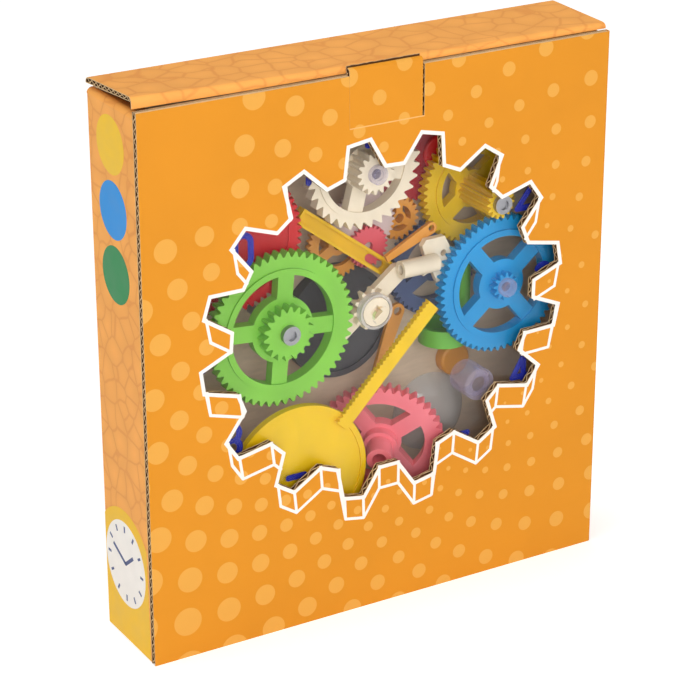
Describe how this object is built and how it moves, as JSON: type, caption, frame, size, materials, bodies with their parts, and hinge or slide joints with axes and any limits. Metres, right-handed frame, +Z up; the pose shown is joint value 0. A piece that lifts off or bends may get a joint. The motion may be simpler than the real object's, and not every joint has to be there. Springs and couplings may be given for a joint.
{
  "type": "clock model kit",
  "caption": "Corrugated carton with a gear-shaped window, hinged tuck lid and lock tab, holding the clear dial, loose wheels, hands and pendulum of a toy clock kit.",
  "frame": {"origin": "middle of the carton's footprint, on the surface that it stands on", "axes": "+Z up, +X to the right along the front, the front with the window looks towards -Y"},
  "size_m": [0.21, 0.042, 0.231],
  "materials": {
    "printed_board": "matt print on corrugated board",
    "plain_board": "bare corrugated board",
    "clear_plastic": "clear, polished",
    "numeral_ink": "printed on the clear dial",
    "white_plastic": "moulded",
    "green_plastic": "moulded",
    "blue_plastic": "moulded",
    "yellow_plastic": "moulded",
    "pink_plastic": "moulded",
    "red_plastic": "moulded",
    "orange_plastic": "moulded",
    "grey_plastic": "moulded",
    "slate_plastic": "moulded",
    "steel": "turned"
  },
  "bodies": {
    "carton": {"front_panel": "printed_board", "left_side_panel": "printed_board", "right_side_panel": "printed_board", "back_panel": "printed_board", "bottom_panel": "printed_board", "glue_flap": "plain_board", "bottom_tuck_flap": "plain_board", "bottom_left_flap": "plain_board", "bottom_right_flap": "plain_board", "dial_plate": "clear_plastic", "dial_numerals": "numeral_ink", "clock_stand": "white_plastic", "green_axle_pin": "steel", "blue_axle_pin": "clear_plastic", "escape_axle_pin": "clear_plastic", "yellow_axle_pin": "steel", "pink_wheel": "pink_plastic", "red_wheel": "red_plastic", "crimson_wheel": "red_plastic", "rose_wheel": "pink_plastic", "pale_wheel": "clear_plastic", "slate_wheel": "slate_plastic", "orange_wheel": "orange_plastic", "amber_wheel": "orange_plastic", "pendulum": "yellow_plastic", "channel_arm": "yellow_plastic", "crank_lever": "white_plastic", "clear_ring": "clear_plastic", "pallet_anchor": "white_plastic", "clear_bush": "clear_plastic", "clear_dome": "clear_plastic", "spring_barrel": "grey_plastic", "winding_drum": "green_plastic", "winding_arbor": "green_plastic", "red_cap": "red_plastic", "orange_button": "orange_plastic", "minute_hand": "orange_plastic", "hour_hand": "orange_plastic"},
    "lid": {"lid_panel": "printed_board"},
    "tuck": {"tuck_flap": "plain_board"},
    "left_dust": {"left_dust_flap": "plain_board"},
    "right_dust": {"right_dust_flap": "plain_board"},
    "tab": {"lock_tab": "printed_board"},
    "green": {"green_wheel": "green_plastic"},
    "blue": {"blue_wheel": "blue_plastic"},
    "escape": {"escape_wheel": "white_plastic"},
    "yellow": {"yellow_wheel": "yellow_plastic"}
  },
  "joints": [
    {"name": "lid_hinge", "type": "hinge", "parent": "carton", "child": "lid", "pos_m": [0, 0.021, 0.228], "axis": [-1, 0, 0], "range_deg": [0, 115]},
    {"name": "tuck_hinge", "type": "hinge", "parent": "lid", "child": "tuck", "pos_m": [0, -0.0177, 0.2277], "axis": [1, 0, 0], "range_deg": [0, 20]},
    {"name": "left_dust_hinge", "type": "hinge", "parent": "carton", "child": "left_dust", "pos_m": [-0.105, 0, 0.2247], "axis": [0, -1, 0], "range_deg": [0, 100]},
    {"name": "right_dust_hinge", "type": "hinge", "parent": "carton", "child": "right_dust", "pos_m": [0.105, 0, 0.2247], "axis": [0, 1, 0], "range_deg": [0, 100]},
    {"name": "lock_tab_hinge", "type": "hinge", "parent": "carton", "child": "tab", "pos_m": [0.0006, -0.021, 0.207], "axis": [1, 0, 0], "range_deg": [0, 100]},
    {"name": "green_spin", "type": "hinge", "parent": "carton", "child": "green", "pos_m": [-0.0386, 0, 0.1249], "axis": [0, -1, 0], "continuous": true},
    {"name": "blue_spin", "type": "hinge", "parent": "carton", "child": "blue", "pos_m": [0.063, 0, 0.1242], "axis": [0, -1, 0], "continuous": true},
    {"name": "escape_spin", "type": "hinge", "parent": "carton", "child": "escape", "pos_m": [0.001, 0, 0.1838], "axis": [0, -1, 0], "continuous": true},
    {"name": "yellow_spin", "type": "hinge", "parent": "carton", "child": "yellow", "pos_m": [0.0596, 0, 0.1608], "axis": [0, -1, 0], "continuous": true}
  ],
  "couplings": [
    {"joint": "left_dust_hinge", "follows": "lid_hinge", "ratio": 0.85},
    {"joint": "right_dust_hinge", "follows": "lid_hinge", "ratio": 0.85}
  ]
}
